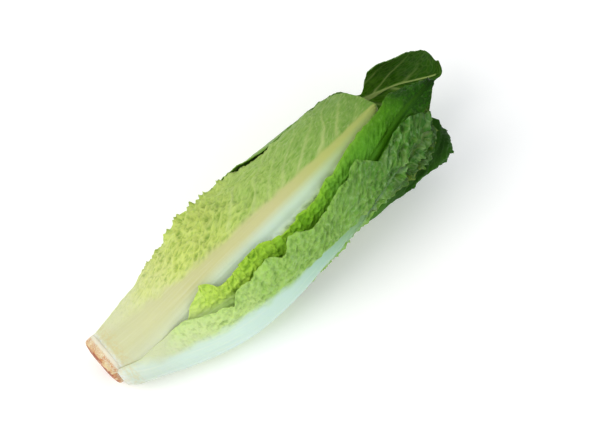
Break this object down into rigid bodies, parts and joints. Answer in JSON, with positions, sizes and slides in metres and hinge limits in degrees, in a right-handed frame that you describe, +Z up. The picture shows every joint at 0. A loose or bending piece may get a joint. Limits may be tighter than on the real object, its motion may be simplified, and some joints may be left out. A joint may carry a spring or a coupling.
{
  "type": "romaine heart",
  "caption": "Romaine lettuce heart lying on its side: a cut stem with a bare stub, ribbed and frilled leaves wrapped round one another, and a loose leaf tip standing out at the end.",
  "frame": {"origin": "Middle of the footprint, on the surface that the heart lies on.", "axes": "+X runs from the cut butt to the leaf tips, +Z is up, and +Y is to the left looking from the butt to the tips."},
  "size_m": [0.2426, 0.0736, 0.0772],
  "materials": {
    "stem": "cut stem flesh, pinkish cream with a rust-brown edge, moist satin",
    "leaf_deep_green": "crinkled outer leaf, deep green with a pale rib, waxy sheen",
    "leaf_mid_green": "crinkled leaf, mid green to yellow-green with a cream midrib, waxy sheen",
    "leaf_lime": "frilled leaf margin, bright lime green, waxy sheen",
    "leaf_heart": "tender inner leaf, pale yellow-green, satin"
  },
  "bodies": {
    "root": {"stem_butt": "stem", "leaf_right_outer": "leaf_deep_green", "leaf_left_outer": "leaf_deep_green", "leaf_front_frilled": "leaf_lime", "leaf_front_ribbed": "leaf_mid_green", "leaf_right_back": "leaf_deep_green", "leaf_left_front": "leaf_mid_green", "leaf_inner_1": "leaf_heart", "leaf_inner_2": "leaf_heart", "leaf_inner_3": "leaf_heart", "leaf_inner_4": "leaf_heart", "leaf_inner_5": "leaf_heart", "leaf_inner_6": "leaf_heart", "leaf_inner_7": "leaf_heart"}
  },
  "joints": []
}
